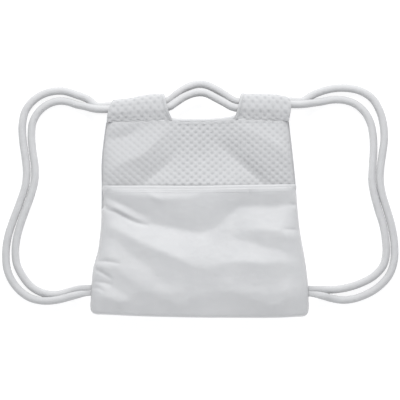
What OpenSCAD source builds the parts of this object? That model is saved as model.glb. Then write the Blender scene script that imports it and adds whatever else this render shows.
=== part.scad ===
// Drawstring backpack, lying on its back with the mouth towards +Y.
// The front faces up (+Z), +X is the right-hand side seen from the front, and all sizes are in millimetres.
// The origin is under the middle of the sewn bag, on the surface that it lies on.

/* [Bag] */
// Height from the bottom fold to the top of the drawcord channels
bag_h = 321; // [310:1:335]
// Width across the mouth, just below the channels
mouth_w = 262; // [250:1:275]
// Width across the base
base_w = 315; // [300:1:330]
// Height over which the base keeps its full width
base_straight = 55; // [50:1:65]
// Radius of the two bottom corners, seen from the front
corner_r = 11; // [9:0.5:16]
// Height of the front sheet where the bag is fullest
belly_z = 31; // [30:0.5:34]
// Height above the bottom fold up to which the bag stays that full
belly_up = 180; // [150:1:200]
// Width of the rounded edge along each side of the full part
side_roll = 40; // [34:1:50]
// Width of the rounded edge along each side of the mouth
mouth_roll = 18; // [12:1:26]
// Height of the rounded edge along the bottom
bottom_roll = 34; // [30:1:45]
// Share of that edge that rises steeply from the seam
bottom_nose = 0.58; // [0.4:0.02:0.7]
// Height of the folds, as a share of the folds listed below
fold_share = 1; // [0:0.05:1.1]

/* [Cloth] */
// Thickness of the woven cloth of the back and of the pocket
cloth_t = 1.2; // [0.8:0.1:1.6]
// Thickness of the dimpled mesh of the front
mesh_t = 1.6; // [1:0.1:2.2]
// Thickness of the tape in the seams
tape_t = 1.6; // [1.2:0.1:2]
// Width of the tape in the seams
tape_w = 7; // [5:0.5:8.5]

/* [Pocket] */
// Height of the pocket, from the bottom fold to the foot of its hem
pocket_h = 184; // [160:1:200]
// Room in the pocket, front to back
pocket_room = 9.8; // [9.6:0.2:12]
// Height of the hem along the pocket's mouth
hem_h = 6; // [4:0.5:9]
// Thickness of that hem
hem_t = 2.6; // [1.8:0.1:3.4]

/* [Channels] */
// Height of a channel, from its seam to the top of the bag
channel_h = 38; // [36:1:44]
// Thickness of a channel's wall
channel_wall = 1.2; // [0.8:0.1:1.6]
// Radius of the fold along the top of a channel
channel_top_r = 5.5; // [4:0.5:6.5]
// Half the thickness of a channel at its seam
channel_seam_r = 1.6; // [1.4:0.1:2]
// Gap between the front and the back channels, at the open mouth
mouth_gap = 6; // [5:0.5:9]
// How far a channel's outer end stands past the side seam
channel_past = 1; // [0:0.5:3]
// Radius of the upper outer corner of a channel
channel_end_r = 9; // [5:0.5:12]
// Width of the notch between the two channels, at its foot
notch_w = 92; // [84:1:100]
// How far each side of the notch leans outwards, from foot to top
notch_lean = 8; // [0:1:12]
// Height of the turned edge along the foot of the notch
binding_h = 4; // [3.5:0.5:6]
// Thickness of that edge
binding_t = 3.2; // [2:0.2:3.4]

/* [Drawcords] */
// Diameter of both drawcords
cord_d = 11.2; // [9:0.2:11.4]
// Height of the front cord above the channel seam, at the notch
front_cord_up = 19; // [14:0.5:22]
// Height of the back cord above the channel seam, at the notch
back_cord_up = 28.5; // [22:0.5:29]
// How far the front handle strand stands out from its two exits
front_handle_rise = 23; // [16:1:24]
// How far the back handle strand stands out from its two exits
back_handle_rise = 24; // [18:1:26]
// Angle by which the front handle strand sags below level
handle_sag = 22; // [10:1:26]
// Distance between the two cord ends sewn into a bottom corner
end_pitch = 11.6; // [11.6:0.1:12.6]
// Height of that pair of cord ends above the bottom fold
end_up = 39; // [34:1:42]

/* [Clearances] */
// Gap between sewn edges that meet
sew_clear = 0.3; // [0.2:0.05:0.4]
// Gap round a cord in its channel
cord_clear = 0.3; // [0.2:0.05:0.5]

/* [Hidden] */
$fn = 48;

// Colours of the cloths and the cord
woven_grey = [0.82, 0.82, 0.83];
mesh_grey = [0.86, 0.86, 0.87];
tape_grey = [0.76, 0.76, 0.77];
cord_white = [0.90, 0.90, 0.90];

// Heights along the bag
top_y = bag_h / 2;
bottom_y = -bag_h / 2;
seam_y = top_y - channel_h;
panel_top_y = seam_y - sew_clear;
pocket_top_y = bottom_y + pocket_h;
belly_y = bottom_y + belly_up;
base_top_y = bottom_y + base_straight;
back_lift_len = 30;

// Levels above the ground
channel_bore = cord_d + 2 * cord_clear;
channel_t = channel_bore + 2 * channel_wall;
back_z = channel_t / 2;
front_z = 1.5 * channel_t + mouth_gap;
seam_z = channel_t + mouth_gap / 2;
front_rim_z = seam_z + tape_t / 2;
back_rim_z = seam_z - tape_t / 2;

// The front sheet lies inside the pocket's outline by the pocket's cloth
front_inset = cloth_t + sew_clear;

// Steps of the cloth surfaces: across, up the pocket, and on up to the mouth
across_n = 24;
pocket_n = 14;
mouth_n = 6;

// Drawcord places
cord_r = cord_d / 2;
cord_sides = 10;
cord_lift = 0.2;
ground_z = cord_r + cord_lift;
front_cord_y = seam_y + front_cord_up;
back_cord_y = seam_y + back_cord_up;
end_y = bottom_y + end_up;
end_side_gap = 1.2;
end_gap = end_pitch / 2 + cord_r + end_side_gap;
handle_steps = 12;

// Fold lines of the pocket's cloth and of the mesh above it, as points of [x, y, height over the smooth cloth].
// The first lines of each list are sewn and stay level.
pocket_folds = [
    [[-150, pocket_top_y, 0], [150, pocket_top_y, 0]],
    [
        [-136, -4, -2], [-98, -19, -3.4], [-46, -31, -3.6], [6, -38, -3.6], [30, -25, -3.5], [58, -1, -3.4],
        [111, 0, -3.2], [138, 4, -2]
    ],
    [
        [-132, -32, 0.5], [-98, -46, 2], [-63, -63, 4], [-28, -77, 5], [6, -88, 5], [59, -80, 5], [94, -83, 4.4],
        [140, -88, 2]
    ],
    [[-137, -46, -0.5], [-98, -70, 0.2], [-63, -99, 1.4], [-28, -124, 2.2]],
    [[-135, -70, 1.5], [-98, -106, 2.6], [-63, -122, 3]],
    [[59, -35, -0.8], [94, -35, 2], [137, -44, 2.2]],
    [[59, -50, -0.8], [94, -60, 0.4], [138, -72, 1]],
    [[60, -112, 3.4], [100, -112, 2.6], [140, -112, 1.5]]
];
mesh_foot_y = pocket_top_y + hem_h + 2;
mesh_folds = [
    [[-150, seam_y, 0], [150, seam_y, 0]],
    [[-150, mesh_foot_y, 0], [150, mesh_foot_y, 0]],
    [[-136, 50, 1.5], [-115, 66, 3], [-86, 85, 3.6], [-60, 107, 2]],
    [[-70, 40, -1], [-52, 66, -2.7], [-28, 103, -1.5]],
    [[82, 103, 2.5], [99, 84, 4], [131, 50, 1.5]],
    [[36, 108, -1], [48, 90, -2.3], [63, 66, -2.7], [84, 42, -1.5]],
    [[-136, 94, -1], [-104, 97, -2], [-84, 108, -1]],
    [[0, 108, 0.5], [2, 84, -0.6], [4, 62, -1.4], [6, 46, -0.4]]
];
fold_soft = 5;

// A fixed piece of cord stops this far short of the swinging piece's centre, and the angles of the two rings
// that round off the end of the swinging piece
pivot_back = cord_r + 2 * sew_clear;
cap_angles = [84, 50];

// The line that each shoulder strap swings about, on the left at -X and on the right at +X
strap_axis_top = [178, 154];
strap_axis_foot = [192, -128];

// The four strands of the shoulder straps, as they lie on the ground. Each is
// [side, points from the channel to the pivot, y of its two pivots, points between them, points from the
// pivot to the seam]: -1 is the left side, and a point with two numbers lies on the ground. The third number of
// the others is the share of the height from the ground up to the channel or the seam. A strand leaves its channel
// at the y of its first point.
left_front = [
    -1,
    [[-146, 139.6, 0.89], [-157, 141.6, 0.53], [-167, 144.6, 0.17]],
    [147.5, -122.5],
    [
        [-192, 152.9], [-206, 154.2], [-221, 150], [-235, 139], [-243.5, 122.5], [-244, 104], [-242, 82],
        [-239.5, 58], [-240, 40], [-245, 18], [-253.5, -6], [-261.5, -28.5], [-267, -50.5], [-268, -68.5],
        [-265, -84], [-256, -99.5], [-241, -115], [-223, -123.5], [-206, -125]
    ],
    [[-179, -119.5, 0.35], [-168, -117, 0.83]]
];
left_back = [
    -1,
    [[-150, 145.5, 0.77], [-164, 155.8, 0.15]],
    [161, -134.5],
    [
        [-200, 166.8], [-223, 164], [-242, 153.5], [-254, 138], [-257.5, 118], [-256, 94], [-253.2, 71.5],
        [-251.8, 49], [-254, 31.5], [-262, 5], [-272, -22], [-279.5, -46], [-281.5, -73], [-278, -91],
        [-265, -113], [-245, -130.5], [-221, -138], [-206, -137.5]
    ],
    [[-179, -131.5, 0.35], [-168, -128.6, 0.83]]
];
right_front = [
    1,
    [[146, 146.6, 0.89], [157, 148, 0.53], [167, 149.8, 0.17]],
    [152, -122],
    [
        [193, 154.5], [210, 153.5], [225.5, 148], [239, 137], [248.5, 122.5], [253, 102.5], [253, 82.5],
        [252, 58], [251, 38], [254, 18], [260.5, -6], [267.5, -28.5], [271, -50.5], [271.2, -68.5],
        [267, -86], [254, -102], [234, -113], [212, -119.5]
    ],
    [[179, -119.6, 0.35], [168, -117, 0.83]]
];
right_back = [
    1,
    [[150, 152.5, 0.77], [164, 160.8, 0.15]],
    [166.5, -136],
    [
        [194, 170.5], [214, 171], [234, 166], [250, 155.5], [261, 140], [267.5, 120], [269, 98], [266, 76],
        [263.4, 56], [262.8, 36], [265.5, 18], [271.5, -2], [279.6, -28.5], [283.6, -57.5], [282, -79.5],
        [274.5, -99.5], [259, -117], [237, -130.5], [212, -138]
    ],
    [[179, -132.4, 0.35], [168, -128.6, 0.83]]
];
function side_of(strand) = strand[0];
function raised(points, level) = [for (p = points) [p[0], p[1], ground_z + (level - ground_z) * p[2]]];
function stub_of(strand, z) = raised(strand[1], z);
function route_of(strand) = [for (p = strand[3]) on_ground(p)];
function foot_of(strand) = raised(strand[4], seam_z);

// Smooth step from 0 to 1
function ease(t) = let (u = min(1, max(0, t))) u * u * (3 - 2 * u);

// Height of a rounded edge at a distance d in from it, as a share of the full height
edge_power = 2.8;
function rise(d, r) = d >= r ? 1 : d <= 0 ? 0 : pow(1 - pow(1 - d / r, edge_power), 1 / edge_power);

// The same for the bottom edge, which is blunt at the seam and then leans back
nose_depth = 6;
lean_power = 1.25;
function bottom_rise(d) =
    let (t = min(1, max(0, d / bottom_roll)))
    bottom_nose * rise(d, nose_depth) + (1 - bottom_nose) * (1 - pow(1 - t, lean_power));

// Nearest place to a point on one piece of a fold line, and on the whole line: [distance, height]
function near_piece(p, a, b) =
    let (d = [b[0] - a[0], b[1] - a[1]], g = [p[0] - a[0], p[1] - a[1]])
    let (t = min(1, max(0, g * d / (d * d))))
    [norm(g - t * d), a[2] + t * (b[2] - a[2])];
function near_line(p, line) =
    let (all = [for (k = [0:len(line) - 2]) near_piece(p, line[k], line[k + 1])])
    let (least = min([for (q = all) q[0]]))
    [for (q = all) if (q[0] == least) q][0];

// Height of the folds at a point, eased from each line to the next
function fold_height(p, lines) =
    let (near = [for (line = lines) near_line(p, line)])
    let (w = [for (q = near) pow(q[0] * q[0] + fold_soft * fold_soft, -2)])
    fold_share * (w * [for (q = near) q[1]]) / (w * [for (q = w) 1]);
level_cloth = function (p) 0;
function pocket_fold(p) = fold_height(p, pocket_folds);
function mesh_fold(p) = p[1] > mesh_foot_y ? fold_height(p, mesh_folds) : 0;

// Half the bag's width at a height y, on an outline that stands e outside the seam
function half_w(y, e) =
    let (t = min(1, max(0, (seam_y - y) / (seam_y - base_top_y))))
    let (w = mouth_w / 2 + (base_w - mouth_w) / 2 * t + e)
    let (r = corner_r + e, d = y - (bottom_y - e))
    d < r ? w - r + sqrt(max(0, r * r - (r - d) * (r - d))) : w;

// Share of the bag's full shape at a height y, from 0 at the mouth to 1 at the belly
function fullness(y) = ease((seam_y - y) / (seam_y - belly_y));
function roll_w(y) = mouth_roll + (side_roll - mouth_roll) * fullness(y);
function front_crest(y) = let (z = front_z + mesh_t / 2) z + (belly_z - z) * fullness(y);
function pocket_crest(y) = front_crest(y) + pocket_room + cloth_t;
function back_floor(y) = (back_z - cloth_t / 2) * ease(1 - (seam_y - y) / back_lift_len);

// One point of a cloth surface: s runs across from -1 to 1, rim and crest are levels at y, fold is a function
function cloth_point(s, y, e, rim, crest, fold) =
    let (w = half_w(y, e))
    let (k = rise(w * (1 - abs(s)), roll_w(y)) * bottom_rise(y - (bottom_y - e)))
    [s * w, y, rim + (crest + fold([s * w, y]) - rim) * k];

// Positions across the bag, closer together towards the sides
function across() = [for (i = [0:across_n]) sin(90 * (2 * i / across_n - 1))];

// Heights of the rows of a sheet from the bottom seam to the pocket's mouth, and on to the top
function low_rows(e) =
    [for (j = [0:pocket_n]) let (y = bottom_y - e) y + (pocket_top_y - y) * (1 - cos(90 * j / pocket_n))];
function all_rows(e) = concat(
    low_rows(e),
    [for (j = [1:mouth_n]) pocket_top_y + (panel_top_y - pocket_top_y) * j / mouth_n]
);

// Two triangles for each cell of a grid of points, n wide, that starts at point number k
function grid_faces(k, n, m, flip) = [
    for (j = [0:m - 2], i = [0:n - 2])
    let (a = k + j * n + i, b = a + 1, c = a + n, d = c + 1)
    each flip ? [[a, b, d], [a, d, c]] : [[a, d, b], [a, c, d]]
];

// A closed sheet between two grids of points of the same size
module sheet(outer, inner) {
    n = len(outer[0]);
    m = len(outer);
    k = n * m;
    edge = concat(
        [for (i = [0:n - 1]) i],
        [for (j = [1:m - 1]) j * n + n - 1],
        [for (i = [n - 2:-1:0]) (m - 1) * n + i],
        [for (j = [m - 2:-1:1]) j * n]
    );
    rim = [
        for (q = [0:len(edge) - 1])
        let (a = edge[q], b = edge[(q + 1) % len(edge)])
        each [[a, b, b + k], [a, b + k, a + k]]
    ];
    polyhedron(
        [each for (row = outer) row, each for (row = inner) row],
        concat(grid_faces(0, n, m, false), grid_faces(k, n, m, true), rim)
    );
}

// Rows of points of a front layer: e is its outline, drop is how far it lies below the crest
function front_rows(rows, e, level, drop, fold) = [
    for (y = rows) [for (s = across()) cloth_point(s, y, e, front_rim_z, level(y) - drop, fold)]
];
function back_rows(rows, e, lift) = [
    for (y = rows) [for (s = across()) cloth_point(s, y, e, back_rim_z, back_floor(y) + lift, level_cloth)]
];

module back_panel() {
    color(woven_grey)
        sheet(back_rows(all_rows(-cloth_t), -cloth_t, cloth_t), back_rows(all_rows(0), 0, 0));
}

module front_panel() {
    outer_e = -front_inset;
    inner_e = -front_inset - mesh_t;
    crest = function (y) front_crest(y);
    fold = function (p) mesh_fold(p);
    color(mesh_grey)
        sheet(
            front_rows(all_rows(outer_e), outer_e, crest, 0, fold),
            front_rows(all_rows(inner_e), inner_e, crest, mesh_t, fold)
        );
}

module front_pocket() {
    crest = function (y) pocket_crest(y);
    fold = function (p) pocket_fold(p);
    color(woven_grey)
        sheet(
            front_rows(low_rows(0), 0, crest, 0, fold),
            front_rows(low_rows(-cloth_t), -cloth_t, crest, cloth_t, fold)
        );
}

// The hem stands on the pocket's top edge, flush with the cloth inside and proud of it outside
module pocket_hem() {
    proud = hem_t - cloth_t;
    foot = pocket_top_y + sew_clear;
    rows = [foot, foot + hem_h / 2, foot + hem_h];
    swell = [0.6, 1, 0.5];
    outer = [
        for (j = [0:2])
        [for (s = across())
            let (out = proud * swell[j])
            cloth_point(s, rows[j], out, front_rim_z, pocket_crest(rows[j]) + out, level_cloth)]
    ];
    crest = function (y) pocket_crest(y);
    color(woven_grey)
        sheet(outer, front_rows(rows, -cloth_t, crest, cloth_t, level_cloth));
}

// A bar with round edges, drawn flat: l long and t thick
module stadium(l, t) {
    square([l - t, t], center = true);
    for (side = [-1, 1])
        translate([side * (l - t) / 2, 0])
            circle(d = t);
}

// Half the width of the notch at a height y
function notch_x(y) = notch_w / 2 + notch_lean * (y - seam_y) / channel_h;

// A channel's outline seen from the front, on the +X side
module channel_plan() {
    outer_x = mouth_w / 2 + channel_past;
    r = channel_end_r;
    polygon([
        [notch_x(seam_y), seam_y],
        [outer_x, seam_y],
        [outer_x, top_y - r],
        [outer_x - r, top_y - r],
        [outer_x - r, top_y],
        [notch_x(top_y), top_y]
    ]);
    translate([outer_x - r, top_y - r])
        circle(r);
}

// A channel's section, drawn flat from its seam up: it is widest over the heights where the cord lies
module channel_section(low, high) {
    hull() {
        translate([channel_seam_r, 0])
            circle(channel_seam_r);
        for (x = [low, high])
            translate([x, 0])
                circle(channel_t / 2);
        translate([channel_h - channel_top_r, 0])
            circle(channel_top_r);
    }
}

// A folded tunnel of mesh at a level z, on the side with the given sign
module channel(side, z, low, high) {
    mirror([side < 0 ? 1 : 0, 0, 0])
        intersection() {
            translate([0, seam_y, z])
                rotate([90, 0, 90])
                    linear_extrude(mouth_w)
                        difference() {
                            channel_section(low, high);
                            offset(delta = -channel_wall)
                                channel_section(low, high);
                        }
            translate([0, 0, z - channel_t])
                linear_extrude(2 * channel_t)
                    channel_plan();
        }
}

// How far the cords lie below and above their height at the notch, on their way through the channels
front_drift = [-2, 5.5];
back_drift = [-6.8, 2.4];

module front_channel(side) {
    color(mesh_grey)
        channel(side, front_z, front_cord_up + front_drift[0], front_cord_up + front_drift[1]);
}
module back_channel(side) {
    color(mesh_grey)
        channel(side, back_z, back_cord_up + back_drift[0], back_cord_up + back_drift[1]);
}
module front_left_channel() { front_channel(-1); }
module front_right_channel() { front_channel(1); }
module back_left_channel() { back_channel(-1); }
module back_right_channel() { back_channel(1); }

// The turned edge along the foot of the notch, between the two channels
module notch_binding(z) {
    l = 2 * (notch_x(seam_y) - sew_clear);
    translate([-l / 2, seam_y + binding_h / 2, z])
        rotate([90, 0, 90])
            linear_extrude(l)
                stadium(binding_h, binding_t);
}

module front_notch_binding() { color(mesh_grey) notch_binding(front_z); }
module back_notch_binding() { color(woven_grey) notch_binding(back_z); }

// Tape along one side seam, from the cord ends up to the mouth
module side_seam(side) {
    steps = 12;
    foot = end_y + end_gap;
    rows = [for (j = [0:steps]) foot + (panel_top_y - foot) * j / steps];
    outline = concat(
        [for (y = rows) [side * half_w(y, 0), y]],
        [for (j = [steps:-1:0]) [side * (half_w(rows[j], 0) - tape_w), rows[j]]]
    );
    translate([0, 0, back_rim_z])
        linear_extrude(tape_t)
            polygon(outline);
}

module left_side_seam() { color(tape_grey) side_seam(-1); }
module right_side_seam() { color(tape_grey) side_seam(1); }

// The bottom outline, from the left cord ends round both corners to the right ones
function bottom_line(e) =
    let (r = corner_r + e, x = base_w / 2 - corner_r, y = bottom_y + corner_r)
    concat(
        [[-base_w / 2 - e, end_y - end_gap]],
        [for (a = [180:15:270]) [-x + r * cos(a), y + r * sin(a)]],
        [for (a = [270:15:360]) [x + r * cos(a), y + r * sin(a)]],
        [[base_w / 2 + e, end_y - end_gap]]
    );

module bottom_seam() {
    inner = bottom_line(-tape_w);
    color(tape_grey)
        translate([0, 0, back_rim_z])
            linear_extrude(tape_t)
                polygon(concat(bottom_line(0), [for (k = [len(inner) - 1:-1:0]) inner[k]]));
}

function unit(v) = v / norm(v);

// Directions along a list of points, with the first and the last given
function along(points, first, last) = [
    for (k = [0:len(points) - 1])
    k == 0 ? unit(first) : k == len(points) - 1 ? unit(last) : unit(points[k + 1] - points[k - 1])
];

// One ring of a cord's skin round a point, square to the direction t
function ring(c, t, half_width, half_height) =
    let (s = unit(cross([0, 0, 1], t)), u = cross(t, s))
    [for (k = [0:cord_sides - 1])
        let (a = 360 * (k + 0.5) / cord_sides)
        c + half_width * cos(a) * s + half_height * sin(a) * u];

// A cord skinned over rings of [point, direction, half width, half height]
module cord_skin(rings) {
    n = cord_sides;
    m = len(rings);
    walls = [
        for (j = [0:m - 2], k = [0:n - 1])
        let (a = j * n + k, b = j * n + (k + 1) % n)
        each [[a, b + n, b], [a, a + n, b + n]]
    ];
    caps = [
        for (k = [1:n - 2])
        each [[0, k, k + 1], [(m - 1) * n, (m - 1) * n + k + 1, (m - 1) * n + k]]
    ];
    polyhedron([for (q = rings) each ring(q[0], q[1], q[2], q[3])], concat(walls, caps));
}

function round_rings(points, dirs) = [for (k = [0:len(points) - 1]) [points[k], dirs[k], cord_r, cord_r]];

function on_ground(p) = [p[0], p[1], ground_z];
function first_of(list) = list[0];
function last_of(list) = list[len(list) - 1];

// The upper (k = 0) or lower (k = 1) end of a strand, on the line that its strap swings about
function pivot_of(strand, k) =
    let (y = strand[2][k])
    let (t = (strap_axis_top[1] - y) / (strap_axis_top[1] - strap_axis_foot[1]))
    let (x = strap_axis_top[0] + (strap_axis_foot[0] - strap_axis_top[0]) * t)
    [side_of(strand) * x, y, ground_z];

// Level direction of a strand at its upper and at its lower pivot, from the points before and after it
function level_through(before, point, after) =
    unit(unit(on_ground(point) - on_ground(before)) + unit(on_ground(after) - on_ground(point)));
function heading_of(strand, k) =
    k == 0
        ? level_through(last_of(strand[1]), pivot_of(strand, 0), first_of(route_of(strand)))
        : level_through(last_of(route_of(strand)), pivot_of(strand, 1), first_of(foot_of(strand)));

// The cord in one channel, from the notch to just short of the shoulder strap's upper pivot
module cord_run(y, z, strand) {
    side = side_of(strand);
    heading = heading_of(strand, 0);
    stub = stub_of(strand, z);
    exit_y = first_of(stub)[1];
    points = concat(
        [[side * (notch_x(y - cord_r) - sew_clear), y, z], [side * (mouth_w / 2 + channel_past), exit_y, z]],
        stub,
        [pivot_of(strand, 0) - pivot_back * heading]
    );
    color(cord_white)
        cord_skin(round_rings(points, along(points, [side, 0, 0], heading)));
}

module front_left_cord_run() { cord_run(front_cord_y, front_z, left_front); }
module front_right_cord_run() { cord_run(front_cord_y, front_z, right_front); }
module back_left_cord_run() { cord_run(back_cord_y, back_z, left_back); }
module back_right_cord_run() { cord_run(back_cord_y, back_z, right_back); }

// One cord end: sewn flat into the seam, and round by the time it reaches the strap's lower pivot
module cord_end(y, strand) {
    side = side_of(strand);
    heading = heading_of(strand, 1);
    edge_x = half_w(y, 0);
    sewn = [for (x = [edge_x - tape_w, edge_x + sew_clear]) [side * x, y, seam_z]];
    free = [foot_of(strand)[1], foot_of(strand)[0], pivot_of(strand, 1) + pivot_back * heading];
    points = concat(sewn, free);
    dirs = along(points, [side, 0, 0], -heading);
    flat_h = tape_t / 2 - sew_clear / 3;
    cord_skin([
        for (k = [0:len(points) - 1])
        [points[k], dirs[k], cord_r, k < len(sewn) ? flat_h : cord_r]
    ]);
}

module cord_ends(front_strand, back_strand) {
    color(cord_white) {
        cord_end(end_y + end_pitch / 2, front_strand);
        cord_end(end_y - end_pitch / 2, back_strand);
    }
}

module left_cord_ends() { cord_ends(left_front, left_back); }
module right_cord_ends() { cord_ends(right_front, right_back); }

// One strand of a shoulder strap, on the ground, with round ends on the line that it swings about
module strap_cord(strand) {
    top = pivot_of(strand, 0);
    low = pivot_of(strand, 1);
    first = heading_of(strand, 0);
    last = heading_of(strand, 1);
    points = concat([top], route_of(strand), [low]);
    cap = [for (a = cap_angles) [sin(a) * cord_r, cos(a) * cord_r]];
    color(cord_white)
        cord_skin(concat(
            [for (c = cap) [top - c[0] * first, first, c[1], c[1]]],
            round_rings(points, along(points, first, last)),
            [for (k = [1, 0]) [low + cap[k][0] * last, last, cap[k][1], cap[k][1]]]
        ));
}

module left_front_strap_cord() { strap_cord(left_front); }
module left_back_strap_cord() { strap_cord(left_back); }
module right_front_strap_cord() { strap_cord(right_front); }
module right_back_strap_cord() { strap_cord(right_back); }

// One strand of the carry handle, an arch across the notch
module handle_cord(y, z, height, sag) {
    half = notch_x(y - cord_r) - 2 * sew_clear;
    points = [
        for (k = [0:handle_steps])
        let (t = 2 * k / handle_steps - 1, h = height * (1 + cos(180 * t)) / 2)
        [half * t, y + h * cos(sag), z - h * sin(sag)]
    ];
    color(cord_white)
        cord_skin(round_rings(points, along(points, [1, 0, 0], [1, 0, 0])));
}

module front_handle_cord() { handle_cord(front_cord_y, front_z, front_handle_rise, handle_sag); }
module back_handle_cord() { handle_cord(back_cord_y, back_z, back_handle_rise, 0); }

back_panel();
front_panel();
front_pocket();
pocket_hem();
front_left_channel();
front_right_channel();
back_left_channel();
back_right_channel();
front_notch_binding();
back_notch_binding();
left_side_seam();
right_side_seam();
bottom_seam();
front_left_cord_run();
front_right_cord_run();
back_left_cord_run();
back_right_cord_run();
left_cord_ends();
right_cord_ends();
left_front_strap_cord();
left_back_strap_cord();
right_front_strap_cord();
right_back_strap_cord();
front_handle_cord();
back_handle_cord();
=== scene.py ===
import math

import bpy
import numpy as np
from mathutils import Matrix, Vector, kdtree, noise


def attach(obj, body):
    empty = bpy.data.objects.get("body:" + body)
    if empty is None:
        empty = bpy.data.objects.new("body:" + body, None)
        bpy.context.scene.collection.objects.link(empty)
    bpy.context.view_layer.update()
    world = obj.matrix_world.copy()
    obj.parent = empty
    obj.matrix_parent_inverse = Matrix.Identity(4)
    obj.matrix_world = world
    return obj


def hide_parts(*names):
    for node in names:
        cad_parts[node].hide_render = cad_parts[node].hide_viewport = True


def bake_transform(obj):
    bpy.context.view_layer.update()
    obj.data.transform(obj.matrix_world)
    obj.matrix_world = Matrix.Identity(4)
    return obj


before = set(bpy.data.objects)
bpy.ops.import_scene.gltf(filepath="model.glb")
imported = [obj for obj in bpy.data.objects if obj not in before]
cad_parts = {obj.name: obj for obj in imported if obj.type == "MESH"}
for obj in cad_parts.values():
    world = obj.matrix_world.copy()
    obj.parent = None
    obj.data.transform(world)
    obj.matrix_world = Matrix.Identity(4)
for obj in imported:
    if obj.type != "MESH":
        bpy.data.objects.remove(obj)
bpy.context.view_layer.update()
print("frame loaded:", len(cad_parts), "nodes")

mm = 0.001  # sizes below are in millimetres, and meshes are in metres


# small helpers

def clearSelection():
    if bpy.context.object and bpy.context.object.mode != "OBJECT":
        bpy.ops.object.mode_set(mode="OBJECT")
    bpy.ops.object.select_all(action="DESELECT")


def pick(obj):
    clearSelection()
    obj.select_set(True)
    bpy.context.view_layer.objects.active = obj


def smoothStep(t):
    t = np.clip(t, 0, 1)
    return t * t * (3 - 2 * t)


def throughKnots(at, knots):  # smooth curve through (position, value) pairs
    position, value = np.array(sorted(knots), float).T
    slope = np.gradient(value, position)
    i = np.clip(np.searchsorted(position, at) - 1, 0, len(position) - 2)
    gap = position[i + 1] - position[i]
    t = np.clip((at - position[i]) / gap, 0, 1)
    start = value[i] * (1 + 2 * t) * (1 - t) ** 2 + slope[i] * gap * t * (1 - t) ** 2
    end = value[i + 1] * t * t * (3 - 2 * t) - slope[i + 1] * gap * t * t * (1 - t)
    return start + end


def smoothPath(points, step):  # even steps along a smooth line through the points
    points = np.array(points, float)
    chord = np.concatenate([[0], np.cumsum(np.linalg.norm(np.diff(points, axis=0), axis=1))])
    fine = np.linspace(0, chord[-1], int(chord[-1] * 2) + 2)
    line = np.stack([throughKnots(fine, list(zip(chord, points[:, k]))) for k in range(3)], axis=1)
    run = np.concatenate([[0], np.cumsum(np.linalg.norm(np.diff(line, axis=0), axis=1))])
    even = np.linspace(0, run[-1], max(2, round(run[-1] / step)) + 1)
    return np.stack([np.interp(even, run, line[:, k]) for k in range(3)], axis=1)


def pathLength(path):
    return float(np.linalg.norm(np.diff(path, axis=0), axis=1).sum())


def getPoints(obj):
    co = np.zeros(len(obj.data.vertices) * 3)
    obj.data.vertices.foreach_get("co", co)
    return co.reshape(-1, 3)


def setPoints(obj, co):
    obj.data.vertices.foreach_set("co", np.asarray(co, float).ravel())
    obj.data.update()


def scaleUv(obj, across, along):  # the grid's own map, in steps of 10 mm of cloth
    layer = obj.data.uv_layers.active.data
    uv = np.zeros(len(layer) * 2)
    layer.foreach_get("uv", uv)
    uv = uv.reshape(-1, 2) * (across / 10, along / 10)
    layer.foreach_set("uv", uv.ravel())


def addGrid(name, columns, rows):  # returns the object and each vertex's u and v, from 0 to 1
    clearSelection()
    bpy.ops.mesh.primitive_grid_add(x_subdivisions=columns, y_subdivisions=rows, size=1)
    obj = bpy.context.object
    obj.name = name
    obj.data.name = name
    co = getPoints(obj)
    return obj, co[:, 0] + 0.5, co[:, 1] + 0.5


def applyModifier(obj, kind, **settings):
    pick(obj)
    modifier = obj.modifiers.new(kind.title(), kind)
    for key, value in settings.items():
        setattr(modifier, key, value)
    bpy.ops.object.modifier_apply(modifier=modifier.name)


def shadeSmooth(obj):
    pick(obj)
    bpy.ops.object.shade_smooth()


def giveMaterial(obj, material):
    obj.data.materials.clear()
    obj.data.materials.append(material)


def sweepTube(name, path, halfWidth, halfHeight, sides, relief=0):  # a grid rolled round a path
    rings = len(path)
    obj, u, v = addGrid(name, sides, rings - 1)
    length = pathLength(path)
    ring = np.rint(v * (rings - 1)).astype(int)
    along = np.gradient(path, axis=0)
    along /= np.linalg.norm(along, axis=1)[:, None]
    across = np.cross((0, 0, 1), along)
    across /= np.linalg.norm(across, axis=1)[:, None]
    up = np.cross(along, across)
    angle = 2 * np.pi * u
    bump = 1 + (relief(angle, v * length) if callable(relief) else relief)
    width = np.broadcast_to(halfWidth, rings)[ring] * bump * np.cos(angle)
    height = np.broadcast_to(halfHeight, rings)[ring] * bump * np.sin(angle)
    setPoints(obj, (path[ring] + across[ring] * width[:, None] + up[ring] * height[:, None]) * mm)
    scaleUv(obj, math.pi * float(np.mean(halfWidth) + np.mean(halfHeight)), length)
    pick(obj)
    bpy.ops.object.mode_set(mode="EDIT")
    bpy.ops.mesh.select_all(action="SELECT")
    bpy.ops.mesh.remove_doubles(threshold=1e-6)
    bpy.ops.mesh.fill_holes(sides=0)
    bpy.ops.mesh.select_all(action="SELECT")
    bpy.ops.mesh.normals_make_consistent(inside=False)
    bpy.ops.object.mode_set(mode="OBJECT")
    shadeSmooth(obj)
    return obj


# camera straight above, light table, a soft light beyond the mouth and a weak one beyond the bottom seam

cameraSetup = {"x": 0.7, "y": 8.3, "height": 2500, "level": 20, "width": 580, "sensor": 36}
bpy.ops.object.camera_add(
    location=(cameraSetup["x"] * mm, cameraSetup["y"] * mm, cameraSetup["height"] * mm), rotation=(0, 0, 0)
)
camera = bpy.context.object
camera.data.sensor_width = cameraSetup["sensor"]
cameraRange = cameraSetup["height"] - cameraSetup["level"]
camera.data.lens = cameraSetup["sensor"] * cameraRange / cameraSetup["width"]
bpy.context.scene.camera = camera

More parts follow.
